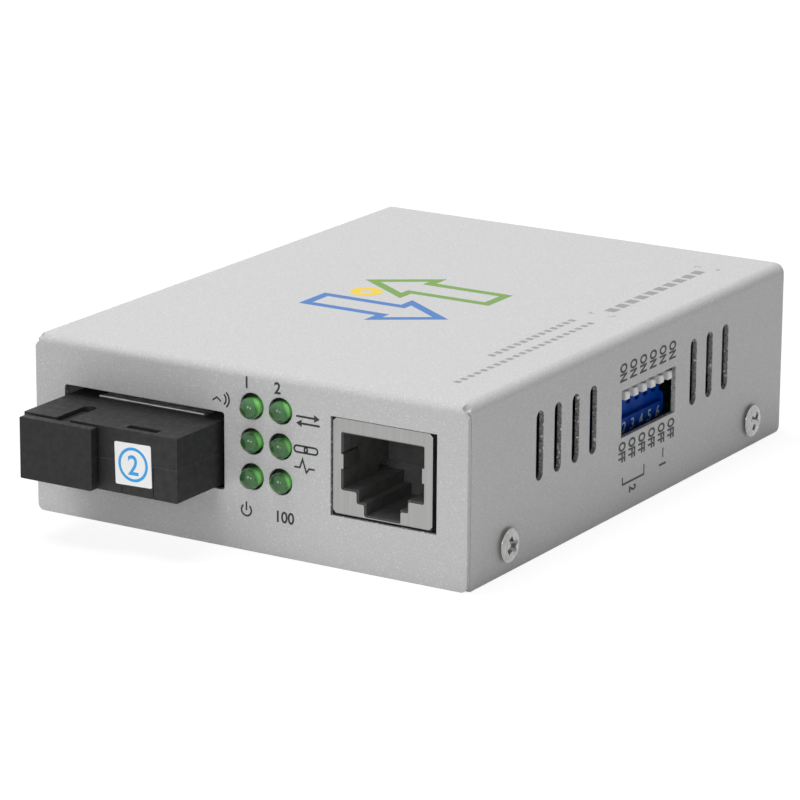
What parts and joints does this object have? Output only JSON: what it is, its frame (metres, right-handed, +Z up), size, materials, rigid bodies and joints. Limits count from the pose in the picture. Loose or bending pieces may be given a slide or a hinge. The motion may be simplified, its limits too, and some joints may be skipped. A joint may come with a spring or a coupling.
{
  "type": "fibre media converter",
  "caption": "Small folded steel box with a protruding optical module, a network socket and status lamps on the front, and a switch window and vent slots in the side.",
  "frame": {"origin": "centre of the bottom face of the case", "axes": "+X to the right and +Y to the back, seen from the front, +Z up"},
  "size_m": [0.0732, 0.1054, 0.026],
  "materials": {
    "case_paint": "light grey powder coat with a metallic sparkle",
    "nickel": "nickel plated steel",
    "brass_nickel": "plain brass",
    "board": "green solder mask",
    "black_plastic": "fine matte black moulding",
    "plug_plastic": "soft matte black moulding",
    "ceramic": "smooth white ceramic",
    "tinned_pins": "tinned metal",
    "tinned_steel": "satin tinned steel",
    "gold": "gold plated spring wire",
    "blue_plastic": "blue moulding",
    "white_plastic": "white moulding",
    "green_lens": "clear green epoxy",
    "chip_plastic": "black epoxy moulding",
    "can_aluminium": "bare aluminium can",
    "coil_ferrite": "dark ferrite"
  },
  "bodies": {
    "case": {"cover": "case_paint", "base_tray": "case_paint", "case_screws": "nickel", "standoffs": "brass_nickel", "board_screws": "nickel", "circuit_board": "board", "optics_lower_housing": "black_plastic", "optics_upper_housing": "black_plastic", "ferrule_sleeve": "ceramic", "optics_pins": "tinned_pins", "earthing_clip": "tinned_steel", "jack_shield": "tinned_steel", "jack_insert": "black_plastic", "jack_contacts": "gold", "lamp_holder": "black_plastic", "lamp_pins": "tinned_pins", "switch_body": "blue_plastic", "switch_leads": "tinned_pins", "power_socket": "black_plastic", "power_pin": "tinned_steel", "converter_chip": "chip_plastic", "converter_chip_leads": "tinned_pins", "line_transformer": "chip_plastic", "line_transformer_leads": "tinned_pins", "regulator": "chip_plastic", "regulator_leads": "tinned_pins", "crystal": "tinned_steel", "capacitors": "can_aluminium", "power_coil": "coil_ferrite", "small_components": "chip_plastic", "lamp_1": "green_lens", "lamp_2": "green_lens", "lamp_3": "green_lens", "lamp_4": "green_lens", "lamp_5": "green_lens", "lamp_6": "green_lens"},
    "plug": {"dust_plug": "plug_plastic"},
    "slider_1": {"switch_slider_1": "white_plastic"},
    "slider_2": {"switch_slider_2": "white_plastic"},
    "slider_3": {"switch_slider_3": "white_plastic"},
    "slider_4": {"switch_slider_4": "white_plastic"},
    "slider_5": {"switch_slider_5": "white_plastic"},
    "slider_6": {"switch_slider_6": "white_plastic"}
  },
  "joints": [
    {"name": "plug_pull", "type": "slide", "parent": "case", "child": "plug", "axis": [0, -1, 0], "range_m": [0, 0.012]},
    {"name": "slider_1_travel", "type": "slide", "parent": "case", "child": "slider_1", "axis": [0, 0, 1], "range_m": [-0.002, 0]},
    {"name": "slider_2_travel", "type": "slide", "parent": "case", "child": "slider_2", "axis": [0, 0, 1], "range_m": [-0.002, 0]},
    {"name": "slider_3_travel", "type": "slide", "parent": "case", "child": "slider_3", "axis": [0, 0, 1], "range_m": [-0.002, 0]},
    {"name": "slider_4_travel", "type": "slide", "parent": "case", "child": "slider_4", "axis": [0, 0, 1], "range_m": [-0.002, 0]},
    {"name": "slider_5_travel", "type": "slide", "parent": "case", "child": "slider_5", "axis": [0, 0, 1], "range_m": [-0.002, 0]},
    {"name": "slider_6_travel", "type": "slide", "parent": "case", "child": "slider_6", "axis": [0, 0, 1], "range_m": [-0.002, 0]}
  ]
}
